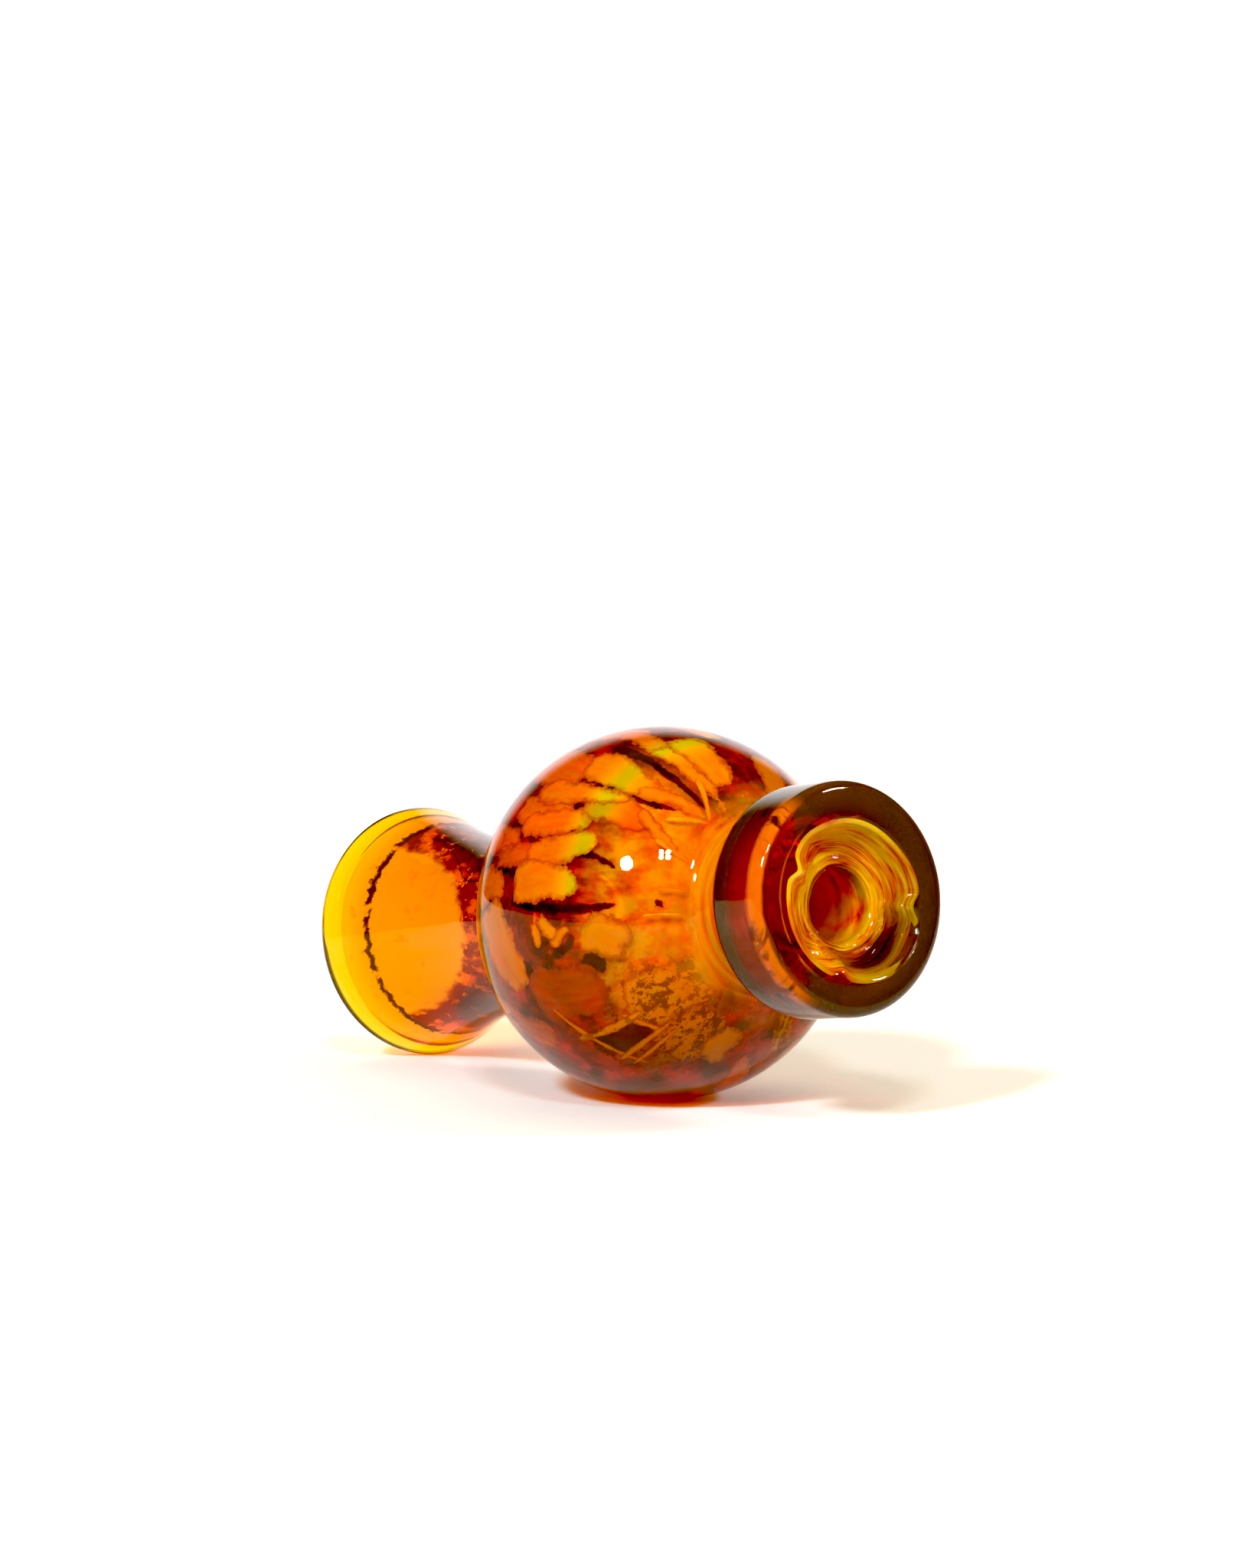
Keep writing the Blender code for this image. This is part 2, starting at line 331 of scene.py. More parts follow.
class Tree:
    """A short way to write the node tree of a material or of the world."""

    def __init__(self, owner):
        owner.use_nodes = True
        self.tree = owner.node_tree
        self.tree.nodes.clear()

    def add(self, kind, inputs=None, **settings):
        node = self.tree.nodes.new(kind)
        for key, value in settings.items():
            setattr(node, key, value)
        for key, value in (inputs or {}).items():
            if isinstance(value, bpy.types.NodeSocket):
                self.tree.links.new(value, node.inputs[key])
            else:
                node.inputs[key].default_value = value
        return node

    def math(self, kind, a, b=0.0, c=0.0):
        return self.add("ShaderNodeMath", {0: a, 1: b, 2: c}, operation=kind).outputs[0]

    def times(self, a, b):
        return self.math("MULTIPLY", a, b)

    def swing(self, value, gain, base):
        """Base, moved up or down by how far the value is from one half."""
        return self.math("MULTIPLY_ADD", self.math("SUBTRACT", value, 0.5), gain, base)

    def smooth(self, value, low, high, top=1.0):
        """A soft step from 0 at low to top at high, where low may be the greater one."""
        inputs = {0: value, 1: low, 2: high, 4: top}
        return self.add("ShaderNodeMapRange", inputs, interpolation_type="SMOOTHSTEP").outputs[0]

    def band(self, value, rise, fall):
        """1 between two soft steps."""
        return self.times(self.smooth(value, *rise), self.smooth(value, *fall))

    def parts(self, vector):
        return self.add("ShaderNodeSeparateXYZ", {0: vector}).outputs

    def dot(self, a, b):
        return self.add("ShaderNodeVectorMath", {0: a, 1: b}, operation="DOT_PRODUCT").outputs["Value"]

    def attribute(self, name, socket="Vector"):
        return self.add("ShaderNodeAttribute", attribute_name=name).outputs[socket]

    def mix(self, share, a, b):
        node = self.add("ShaderNodeMix", {0: share}, data_type="RGBA")
        for socket, value in ((node.inputs[6], a), (node.inputs[7], b)):
            if isinstance(value, bpy.types.NodeSocket):
                self.tree.links.new(value, socket)
            else:
                socket.default_value = (*value, 1.0)
        return node.outputs[2]

    def ramp(self, value, stops):
        node = self.add("ShaderNodeValToRGB", {0: value})
        while len(node.color_ramp.elements) < len(stops):
            node.color_ramp.elements.new(1.0)
        for element, (place, colour) in zip(node.color_ramp.elements, stops):
            element.position = place
            element.color = (*colour, 1.0)
        return node.outputs[0]

    def clear(self, colour=(1.0, 1.0, 1.0, 1.0)):
        return self.add("ShaderNodeBsdfTransparent", {"Color": colour}).outputs[0]

    def mix_shader(self, share, a, b):
        return self.add("ShaderNodeMixShader", {0: share, 1: a, 2: b}).outputs[0]

    def surface(self, shader):
        self.add("ShaderNodeOutputMaterial", {"Surface": shader})


def millimetres(t):
    """Where a point lies along the cap's axis, across it and up from it, in millimetres."""
    place = t.add("ShaderNodeTexCoord").outputs["Object"]
    cap = {"Vector": place, "Location": CENTRE, "Rotation": CAP_FRAME.to_euler(), "Scale": (MM, MM, MM)}
    return t.add("ShaderNodeMapping", cap, vector_type="TEXTURE").outputs[0]


def noise(t, vector, scale, detail=3.0, roughness=0.6):
    inputs = {"Vector": vector, "Scale": scale, "Detail": detail, "Roughness": roughness}
    return t.add("ShaderNodeTexNoise", inputs).outputs[0]


def stretched(t, vector, scale):
    return t.add("ShaderNodeMapping", {"Vector": vector, "Scale": scale}).outputs[0]


def lit_film(t, colour, clearness):
    """A thin coloured film in the glass, which scatters light both ways and lets part of it through."""
    glow = t.add("ShaderNodeBsdfTranslucent", {"Color": colour}).outputs[0]
    skin = t.add("ShaderNodeBsdfDiffuse", {"Color": colour}).outputs[0]
    return t.mix_shader(clearness, t.mix_shader(0.7, glow, skin), t.clear(colour))


# What a metre of the glass does to light, and what its surface takes from the light of a lamp.
GLASS_COLOUR = (0.975, 0.865, 0.0, 1.0)
GLASS_DENSITY = 1850.0
GLASS_IOR = 1.47
SHADOW_TINT = (0.80, 0.80, 0.80, 1.0)

WHITE = (1.0, 1.0, 1.0)
RUST = (0.85, 0.12, 0.005)
ORANGE = (1.0, 0.32, 0.012)
AMBER = (1.0, 0.50, 0.03)
OLIVE = (0.90, 0.66, 0.08)
LIME = (0.66, 1.0, 0.05)
YELLOW = (1.0, 0.86, 0.08)
RED = (0.90, 0.16, 0.015)
DEEP_RED = (0.20, 0.012, 0.002)
SOOT = (0.26, 0.03, 0.003)
LEAF_RIM = (0.50, 0.09, 0.008)


def amber_glass():
    """Clear amber glass, coloured by the length of glass behind it. Lamps shine straight through it."""
    mat = bpy.data.materials.new("amber_glass")
    t = Tree(mat)
    place = millimetres(t)
    slow = noise(t, place, 0.19, 2.0, 0.5)
    fine = noise(t, stretched(t, place, (0.25, 1.0, 1.0)), 0.7, 3.0, 0.5)
    height = t.math("MULTIPLY_ADD", fine, 0.03, slow)
    bumped = t.add("ShaderNodeBump", {"Height": height, "Strength": 0.25, "Distance": 0.0002}).outputs[0]
    smudge = t.math("MULTIPLY_ADD", t.smooth(fine, 0.55, 0.8), 0.02, 0.004)
    shader = t.add("ShaderNodeBsdfPrincipled", {
        "Base Color": (*WHITE, 1.0), "Roughness": smudge, "Normal": bumped})
    shader.inputs["Transmission Weight"].default_value = 1.0
    shader.inputs["IOR"].default_value = GLASS_IOR
    absorb = t.add("ShaderNodeVolumeAbsorption")
    absorb.inputs["Color"].default_value = GLASS_COLOUR
    absorb.inputs["Density"].default_value = GLASS_DENSITY
    shadow = t.add("ShaderNodeLightPath").outputs["Is Shadow Ray"]
    surface = t.mix_shader(shadow, shader.outputs[0], t.clear(SHADOW_TINT))
    t.add("ShaderNodeOutputMaterial", {"Surface": surface, "Volume": absorb.outputs[0]})
    return mat


def leaf_material():
    """Fumed flakes. The mesh carries where each point lies in its leaf, in millimetres, and the leaf's tone,
    how far the point is from the leaf's edge, and how clear the leaf is."""
    mat = bpy.data.materials.new("fumed_leaves")
    t = Tree(mat)
    leaf = t.attribute("leaf")
    tone, inward, clearness = t.parts(t.attribute("tone"))
    place = millimetres(t)
    x, _, z = t.parts(place)

    torn = t.math("SUBTRACT", noise(t, place, 0.55, 4.0, 0.62), 0.5)
    ragged = t.swing(noise(t, place, 1.9, 4.0, 0.65), 0.5, torn)
    edge = t.math("MULTIPLY_ADD", ragged, 1.9, inward)
    cover = t.smooth(edge, 0.22, 0.36)

    grain = noise(t, place, 4.5, 4.0, 0.7)
    streak = noise(t, stretched(t, leaf, (0.35, 1.6, 1.0)), 1.0, 4.0)
    shade = t.swing(grain, 0.50, t.swing(streak, 0.75, tone))
    body = t.ramp(shade, ((0.0, RUST), (0.33, ORANGE), (0.62, AMBER), (0.95, OLIVE)))

    # Feathered soot low on the bubble, on the palest leaves only.
    fern = t.smooth(noise(t, stretched(t, place, (0.7, 1.3, 1.3)), 1.0, 6.0, 0.74), 0.50, 0.53)
    fern = t.times(t.times(fern, t.smooth(z, -2.5, -4.0)), t.smooth(tone, 0.66, 0.72))
    body = t.mix(t.times(fern, 0.85), body, SOOT)

    # A lime and yellow band round the upper part of the bubble, the fuming's colour, painted only on the lit
    # upper side: a painted sheen.
    ring = t.math("MULTIPLY_ADD", grain, 0.5, x)
    lit_side = t.smooth(z, -2.0, 1.5)
    halo = t.band(ring, (3.8, 5.6), (9.0, 7.0))
    glint = t.band(ring, (5.0, 6.2), (7.6, 6.6))
    body = t.mix(t.times(t.times(halo, lit_side), 0.8), body, YELLOW)
    body = t.mix(t.times(t.times(glint, lit_side), 0.9), body, LIME)

    rim = t.math("SUBTRACT", 1.0, t.smooth(edge, 0.25, 0.95))
    body = t.mix(t.times(rim, 0.8), body, LEAF_RIM)
    t.surface(t.mix_shader(cover, t.clear(), lit_film(t, body, clearness)))
    return mat


def stroke_material():
    """Dark soot lines between the leaves: they only filter the light."""
    mat = bpy.data.materials.new("soot_strokes")
    t = Tree(mat)
    tone, inward, _ = t.parts(t.attribute("tone"))
    torn = t.math("SUBTRACT", noise(t, millimetres(t), 0.7, 5.0, 0.68), 0.5)
    edge = t.math("MULTIPLY_ADD", torn, 3.0, inward)
    ink = t.mix(tone, (0.30, 0.035, 0.004), (0.58, 0.06, 0.006))
    t.surface(t.clear(t.mix(t.smooth(edge, 0.15, 0.45), WHITE, ink)))
    return mat


def ground_material():
    """The bubble's red ground: streaked, clearer and more orange in a fan that spreads from the neck. The
    fan is a painted glow of light passing through the glass.
    """
    mat = bpy.data.materials.new("bubble_ground")
    t = Tree(mat)
    place = millimetres(t)
    x, y, z = t.parts(place)
    streak = noise(t, stretched(t, place, (0.10, 0.65, 0.65)), 1.0, 5.0)
    mottle = noise(t, place, 0.55, 5.0, 0.65)
    # Painted glow: the fan of light that passes through the glass beside the neck.
    painted_glow_fan = t.times(t.smooth(t.swing(streak, 9.0, x), 3.0, 10.0), t.smooth(y, -2.0, -6.0))
    red = t.mix(t.smooth(mottle, 0.36, 0.60), DEEP_RED, RED)
    warm = t.ramp(streak, ((0.34, (0.95, 0.28, 0.012)), (0.46, (1.0, 0.52, 0.035)),
                           (0.58, (1.0, 0.88, 0.15))))
    feather = t.times(t.smooth(noise(t, place, 1.1, 6.0, 0.72), 0.53, 0.57), t.smooth(z, -1.0, -7.0))
    warm = t.mix(feather, warm, (0.22, 0.02, 0.003))
    haze = t.math("MULTIPLY_ADD", painted_glow_fan, -0.46, 0.78)
    t.surface(lit_film(t, t.mix(painted_glow_fan, red, warm), haze))
    return mat


def stem_material():
    """The stem's lining: plain orange in the wide part of the flare, dark red marks around it."""
    mat = bpy.data.materials.new("stem_marks")
    t = Tree(mat)
    place = millimetres(t)
    x, y, z = t.parts(place)
    marks = noise(t, stretched(t, place, (0.30, 0.55, 0.55)), 1.0, 5.0, 0.6)
    fleck = noise(t, stretched(t, place, (0.6, 1.0, 1.0)), 1.0, 4.0, 0.7)

    # The plain part is widest beside the lip and closes in a round end near the waist.
    reach = t.math("DIVIDE", t.math("ADD", x, 33.0), 12.5)
    height = t.math("DIVIDE", z, 6.9)
    round_off = t.math("ADD", t.math("POWER", t.math("MAXIMUM", reach, 0.0), 1.3), t.times(height, height))
    outside = t.smooth(t.swing(marks, 0.35, round_off), 0.93, 1.05)
    outside = t.math("MAXIMUM", outside, t.smooth(y, -1.0, 1.0))
    outside = t.times(outside, t.smooth(x, -33.2, -32.7))

    # A broken dark line runs round the stem where the plain lip ends.
    line = t.band(t.swing(fleck, 1.8, x), (-33.4, -33.1), (-32.5, -32.8))
    speck = t.times(line, t.smooth(marks, 0.36, 0.44))

    dark = t.times(outside, t.smooth(marks, 0.40, 0.52))
    faint = t.times(t.smooth(fleck, 0.60, 0.63), 0.35)
    flake = t.times(t.smooth(fleck, 0.60, 0.64), outside)
    clear = t.mix(t.smooth(x, -35.6, -33.0), (0.95, 0.74, 0.40), (1.0, 0.54, 0.07))
    clear = t.mix(faint, clear, (0.95, 0.30, 0.02))
    colour = t.mix(outside, clear, (0.90, 0.20, 0.012))
    colour = t.mix(dark, colour, (0.30, 0.016, 0.002))
    colour = t.mix(speck, colour, (0.10, 0.012, 0.003))
    colour = t.mix(flake, colour, (1.0, 0.36, 0.03))
    haze = t.math("MULTIPLY_ADD", flake, -0.5, 0.9)
    t.surface(lit_film(t, colour, haze))
    return mat


def ring_tint():
    """The dark brown layer inside the collar. Beside the rim on one side it is painted pale, and an orange
    arc is painted glowing there: painted light shining through the face's rounded edge.
    """
    mat = bpy.data.materials.new("collar_dark_layer")
    t = Tree(mat)
    place = millimetres(t)
    x, y, _ = t.parts(place)
    cloud = noise(t, place, 0.35, 4.0, 0.6)
    streak = noise(t, stretched(t, place, (0.3, 1.2, 0.25)), 1.0, 4.0, 0.6)

    # Painted light: the layer is painted pale beside the rim on one side.
    side = t.smooth(t.math("MULTIPLY_ADD", streak, 3.0, y), -2.8, -4.4)
    front = t.smooth(t.math("MULTIPLY_ADD", cloud, 1.2, x), 21.6, 22.6)
    painted_glow_patch = t.times(side, front)
    deep = t.mix(t.smooth(cloud, 0.4, 0.6), (0.22, 0.07, 0.02), (0.40, 0.12, 0.035))
    veil = t.clear(t.mix(painted_glow_patch, deep, (0.98, 0.62, 0.16)))
    # Painted reflection: the brown diffuse skin stands in for the room's brown reflection on the collar.
    brown = t.mix(cloud, (0.17, 0.085, 0.06), (0.28, 0.14, 0.10))
    skin = t.add("ShaderNodeBsdfDiffuse", {"Color": brown}).outputs[0]
    ring = t.mix_shader(t.times(t.math("SUBTRACT", 1.0, painted_glow_patch), 0.22), veil, skin)

    # Painted glow: an orange arc just behind the face, where the layer is painted pale.
    painted_glow_arc = t.times(t.band(x, (23.6, 24.3), (25.25, 25.0)), t.smooth(y, -3.5, -6.0))
    painted_glow_arc = t.times(painted_glow_arc, t.smooth(streak, 0.36, 0.50))
    glow = lit_film(t, t.mix(cloud, (0.90, 0.16, 0.008), (1.0, 0.40, 0.02)), 0.35)
    t.surface(t.mix_shader(painted_glow_arc, ring, glow))
    return mat


def neck_material():
    """Orange and yellow rings that lie about the axis, broken up and fading out towards the bubble."""
    mat = bpy.data.materials.new("neck_rings")
    t = Tree(mat)
    place = millimetres(t)
    x = t.parts(place)[0]
    rings = noise(t, stretched(t, place, (1.6, 0.12, 0.12)), 1.0, 4.0, 0.6)
    cloud = noise(t, place, 0.3, 3.0, 0.5)
    colour = t.ramp(rings, ((0.34, (0.80, 0.12, 0.006)), (0.46, (1.0, 0.36, 0.02)),
                            (0.60, (1.0, 0.66, 0.06))))
    cover = t.smooth(t.math("MULTIPLY_ADD", cloud, 5.0, x), 14.2, 16.8)
    t.surface(t.mix_shader(cover, t.clear(), lit_film(t, colour, 0.45)))
    return mat


def mouth_material():
    """Yellow and orange streaks wound down the folds of the mouth, painted paler and less clear towards its
    top: painted light.
    """
    mat = bpy.data.materials.new("mouth_streaks")
    t = Tree(mat)
    leaf = t.attribute("leaf")
    shadow = t.attribute("shadow", "Fac")
    lines = noise(t, stretched(t, leaf, (1.1, 1.1, 15.0)), 1.0, 3.0, 0.55)
    cloud = noise(t, stretched(t, leaf, (0.8, 0.8, 2.0)), 1.0, 3.0, 0.5)
    _, y, z = t.parts(millimetres(t))
    # Painted light: the top of the mouth is painted paler and less clear, as if lit more strongly.
    painted_light_upper = t.smooth(t.math("MULTIPLY_ADD", y, -0.6, z), 0.5, 5.5)
    shade = t.math("MULTIPLY_ADD", painted_light_upper, 0.10, t.swing(lines, 3.2, cloud))
    colour = t.ramp(shade, ((0.0, (0.50, 0.05, 0.002)), (0.24, (0.98, 0.24, 0.004)),
                            (0.46, (1.0, 0.48, 0.010)), (0.74, (1.0, 0.80, 0.035))))
    haze = t.math("MULTIPLY_ADD", painted_light_upper, -0.16, t.math("MULTIPLY_ADD", shadow, 0.55, 0.32))
    t.surface(lit_film(t, t.mix(shadow, colour, DEEP_RED), haze))
    return mat


def floor_material():
    """White paper, with a fine fibre."""
    mat = bpy.data.materials.new("white_card")
    t = Tree(mat)
    place = t.add("ShaderNodeTexCoord").outputs["Object"]
    fibre = noise(t, place, 900.0, 4.0, 0.5)
    colour = t.mix(fibre, (0.91, 0.90, 0.885), (0.95, 0.94, 0.925))
    bumped = t.add("ShaderNodeBump", {"Height": fibre, "Strength": 0.1, "Distance": 0.0001}).outputs[0]
    shader = t.add("ShaderNodeBsdfPrincipled", {"Base Color": colour, "Roughness": 0.75, "Normal": bumped})
    t.surface(shader.outputs[0])
    return mat


# ---------------------------------------------------------------- leaves in the bubble's wall

# Leaves on the side that faces the room. The columns are polar angle from the collar, azimuth about the
# axis, length, width, turn from the meridian, taper towards the collar, tone from rust to olive, clearness,
# and level in the wall. A tenth column, where there is one, is how far the leaf is bowed sideways.
LEAVES = (
    (74, 104, 7.0, 2.6, 6, 0.1, 0.50, 0.25, 2),
    (66, 121, 9.0, 3.8, 4, 0.35, 0.62, 0.20, 1),
    (95, 122, 9.0, 5.0, 20, 0.0, 0.35, 0.25, 0),
    (77, 133, 10.0, 2.8, -4, 0.3, 0.48, 0.20, 2),
    (88, 141, 7.5, 3.4, 8, 0.1, 0.38, 0.25, 1),
    (80, 147, 8.0, 2.9, -8, 0.1, 0.35, 0.25, 3),
    (74, 156, 7.4, 3.4, -20, 0.25, 0.45, 0.20, 2),
    (94, 157, 6.0, 2.6, -6, 0.1, 0.30, 0.30, 1),
    (78, 168, 7.6, 3.9, 2, 0.3, 0.55, 0.20, 3),
    (100, 186, 8.5, 5.2, 62, 0.1, 0.62, 0.25, 2),
    (58, 93, 6.2, 4.4, 4, 0.05, 0.40, 0.20, 1),
    (50, 106, 9.5, 2.4, 2, 0.5, 0.55, 0.20, 3),
    (46, 124, 6.5, 1.8, -14, 0.4, 0.52, 0.25, 2),
    (44, 138, 5.0, 1.5, 24, 0.2, 0.55, 0.30, 1),
    (60, 138, 7.0, 3.6, 5, 0.3, 0.30, 0.35, 0),
    (56, 187, 4.6, 4.2, 30, 0.1, 0.85, 0.45, 2),
    (76, 181, 2.6, 1.6, 50, 0.0, 0.70, 0.25, 3),
    (72, 185, 2.4, 1.2, -40, 0.1, 0.60, 0.25, 1),
    (82, 184, 2.2, 1.1, 80, 0.1, 0.62, 0.25, 2),
    (76, 206, 8.0, 5.0, 6, 0.2, 0.14, 0.62, 0),
    (44, 221, 8.0, 5.5, 10, 0.1, 0.78, 0.30, 0),
    (50, 241, 6.5, 5.4, 0, 0.1, 0.74, 0.40, 0),
    (49, 258, 4.8, 3.4, 10, 0.1, 0.62, 0.25, 3),
    (104, 150, 6.0, 3.0, 12, 0.1, 0.32, 0.25, 0),
    (108, 168, 6.0, 3.8, 0, 0.1, 0.45, 0.25, 1),
    (90, 102, 6.5, 3.4, -12, 0.1, 0.45, 0.25, 1),
    (108, 112, 6.0, 4.0, 4, 0.0, 0.30, 0.25, 2),
    (102, 214, 7.0, 3.6, 20, 0.0, 0.20, 0.35, 1),
)
# Narrow strips of the same kind.
STRIPS = (
    (68, 220, 7.2, 0.85, -2, 0.0, 0.70, 0.2, 3),
    (75, 224, 9.5, 0.60, 62, 0.0, 0.62, 0.2, 2),
    (62, 232, 6.4, 0.75, -6, 0.0, 0.66, 0.2, 3),
    (61, 236, 6.0, 0.60, -6, 0.0, 0.60, 0.2, 3),
    (57, 225, 4.0, 0.70, 60, 0.0, 0.62, 0.2, 2),
    (40, 112, 4.6, 0.7, 30, 0.3, 0.70, 0.2, 3),
    (38, 128, 3.8, 0.6, -34, 0.3, 0.72, 0.2, 3),
    (37, 146, 3.6, 0.6, 12, 0.3, 0.60, 0.2, 3),
    (37, 181, 3.4, 0.45, 4, 0.2, 0.95, 0.2, 3),
    (34, 168, 2.6, 0.4, 0, 0.2, 0.70, 0.2, 3),
)
# Soot strokes between them.
STROKES = (
    (67, 112, 7.5, 1.1, 2, 0.4, 0.1, 0.0, 0),
    (80, 127, 7.0, 1.0, 2, 0.3, 0.2, 0.0, 0),
    (62, 129, 8.0, 1.0, 0, 0.4, 0.2, 0.0, 0),
    (76, 140, 7.0, 1.1, 4, 0.3, 0.2, 0.0, 0),
    (92, 148, 5.0, 1.1, 0, 0.2, 0.3, 0.0, 0),
    (98, 163, 4.2, 2.0, 14, 0.0, 0.0, 0.0, 0),
    (69, 162, 8.5, 1.1, -3, 0.3, 0.15, 0.0, 0, -1.3),
    (69, 174, 9.0, 1.0, 2, 0.2, 0.1, 0.0, 0, 0.5),
    (57, 128, 7.0, 0.9, -8, 0.2, 0.3, 0.0, 0, 0.4),
    (57, 101, 5.5, 0.9, 6, 0.2, 0.3, 0.0, 0, -1.0),
    (66, 92, 5.0, 0.8, 60, 0.2, 0.3, 0.0, 0, 0.6),
    (86, 134, 5.0, 1.0, -16, 0.2, 0.2, 0.0, 0, 0.6),
    (83, 160, 5.0, 0.9, -18, 0.2, 0.2, 0.0, 0, 0.3),
    (84, 174, 5.0, 0.9, 8, 0.2, 0.1, 0.0, 0),
    (62, 196, 2.6, 1.8, 30, 0.0, 0.0, 0.0, 0),
    (72, 188, 3.0, 1.2, -30, 0.0, 0.1, 0.0, 0),
    (67, 227, 6.4, 3.4, -4, 0.0, 0.5, 0.0, 0, 0.0),
    (38, 176, 1.0, 0.9, 0, 0.0, 0.1, 0.0, 0),
    (50, 113, 7.0, 0.8, 2, 0.3, 0.2, 0.0, 0),
    (84, 200, 8.0, 0.9, 50, 0.1, 0.4, 0.0, 0),
    (70, 200, 4.0, 1.6, 10, 0.1, 0.7, 0.0, 0),
)
LEAF_STEPS = (26, 12)
LEAF_BOW = 0.28
EDGE_SCALE_WIDTH = 2.4
# Radius of the sphere that each level of leaves lies on, and how far apart two leaves of one level stay.
WALL_LEVELS = (14.42, 14.54, 14.66, 14.78)
LEAF_GAP = 0.004
HIDDEN_LEAVES = 90
HIDDEN_SEED = 5
# The listed leaves cover the azimuths between these two, up to this polar angle.
PLACED_AZIMUTHS = (96, 262)
PLACED_POLAR = 112


def hidden_leaves():
    """Leaves spread over the sides that the listed ones leave free."""
    rng = np.random.default_rng(HIDDEN_SEED)
    first, last = PLACED_AZIMUTHS
    made = []
    for i in range(HIDDEN_LEAVES):
        polar = math.degrees(math.acos(1 - 2 * (i + 0.5) / HIDDEN_LEAVES)) + rng.uniform(-5, 5)
        azimuth = (i * 137.5 + rng.uniform(-12, 12)) % 360
        length = rng.uniform(5.0, 8.5)
        width = length * rng.uniform(0.4, 0.6)
        turn = rng.uniform(-20, 20)
        taper = rng.uniform(0, 0.4)
        tone = rng.uniform(0.15, 0.8)
        clear = rng.uniform(0.15, 0.4)
        level = int(rng.integers(0, 4))
        free = azimuth < first or azimuth > last or polar > PLACED_POLAR
        if free and 30 < polar < 148:
            made.append((polar, azimuth, length, width, turn, taper, tone, clear, level))
    return made


def leaf_patch(row, radius):
    """Points of one leaf on a sphere, and what its material reads from it."""
    polar, azimuth, length, width, turn, taper, tone, clear, _, *bow = row
    bow = bow[0] if bow else LEAF_BOW * min(width, 1.6) * math.sin(azimuth * 1.7 + polar)
    polar, azimuth, turn = (math.radians(v) for v in (polar, azimuth, turn))
    axial = np.array([1.0, 0.0, 0.0])
    spoke = np.array([0.0, math.cos(azimuth), math.sin(azimuth)])
    out = math.cos(polar) * axial + math.sin(polar) * spoke
    south = math.sin(polar) * axial - math.cos(polar) * spoke
    east = np.array([0.0, -math.sin(azimuth), math.cos(azimuth)])
    along_way = math.cos(turn) * south + math.sin(turn) * east
    across_way = math.cos(turn) * east - math.sin(turn) * south

    rows, columns = LEAF_STEPS
    u, v = np.meshgrid(np.linspace(-1, 1, rows), np.linspace(-1, 1, columns), indexing="ij")
    half = width / 2 * np.sqrt(np.maximum(0, 1 - u**4)) * (1 - taper * u)
    along = u * length / 2
    across = v * half + bow * (1 - u**2)
    reach = np.hypot(along, across) + 1e-9
    step = (along / reach)[..., None] * along_way + (across / reach)[..., None] * across_way
    bend = (reach / radius)[..., None]
    points = radius * (np.cos(bend) * out + np.sin(bend) * step)

    inward = np.minimum((1 - np.abs(v)) * half, (1 - np.abs(u)) * length / 2)
    inward = inward * max(1.0, EDGE_SCALE_WIDTH / width)
    leaf = np.stack([along, across, np.full_like(along, azimuth * 7)], axis=-1)
    marks = np.stack([np.full_like(inward, tone), inward, np.full_like(inward, clear)], axis=-1)
    return points.reshape(-1, 3), leaf.reshape(-1, 3), marks.reshape(-1, 3)


def leaf_mesh(name, leaves, base_radius=0.0):
    """All leaves in one mesh: on the sphere of base_radius, or else each at its own level in the wall."""
    parts = []
    for i, row in enumerate(leaves):
        radius = base_radius or WALL_LEVELS[row[8]] + LEAF_GAP * i
        parts.append(leaf_patch(row, radius))
    points, leaf, marks = (np.concatenate([part[k] for part in parts]) for k in range(3))
    rows, columns = LEAF_STEPS
    faces = []
    for p in range(len(parts)):
        for i in range(rows - 1):
            for j in range(columns - 1):
                a = p * rows * columns + i * columns + j
                faces.append((a, a + columns, a + columns + 1, a + 1))
    mesh = smooth_mesh(name, points * MM, faces)
    set_values(mesh, "leaf", "FLOAT_VECTOR", leaf)
    set_values(mesh, "tone", "FLOAT_VECTOR", marks)
    return mesh


# ---------------------------------------------------------------- pieces

# How uneven the outside and the inside of the glass are: amount in millimetres, and seed.
OUTSIDE = (0.025, 0.4)
INSIDE = (0.05, 1.9)
# The section of the dark layer in the collar, round the collar's back, rim and face.
COLLAR_LAYER = (
    (19.6, 7.2), (19.2, 8.2), (19.5, 9.0), (20.4, 9.3), (22.0, 9.35), (23.6, 9.35), (24.7, 9.2), (25.2, 8.8),
    (25.35, 8.2), (25.3, 7.5), (24.9, 7.0),
)
FLOOR_SIZE = 1.1


def build_cap():
    rings = profile_rings(outer_profile(), *OUTSIDE) + mouth_rings()
    rings += profile_rings(inner_profile(), *INSIDE)
    mesh = grid_mesh("cap_glass", rings, True)
    add_piece("cap_glass", mesh, amber_glass(), "bubble_glass",
              "stem_lip", "stem_casing", "bubble_casing", "neck", "collar", "mouth_swirl")


def build_bubble_patterns():
    ground = profile_rings(arc(0, 0, GROUND_R, 158, 24, 84), *INSIDE)
    mesh = grid_mesh("bubble_ground", ground, False)
    add_piece("bubble_ground", mesh, ground_material(), "bubble_pattern", "bubble_lining")
    mesh = leaf_mesh("bubble_leaves", [*LEAVES, *STRIPS, *hidden_leaves()])
    add_piece("bubble_leaves", mesh, leaf_material(), "bubble_pattern")
    mesh = leaf_mesh("bubble_strokes", STROKES, STROKE_R)
    add_piece("bubble_strokes", mesh, stroke_material(), "bubble_pattern")


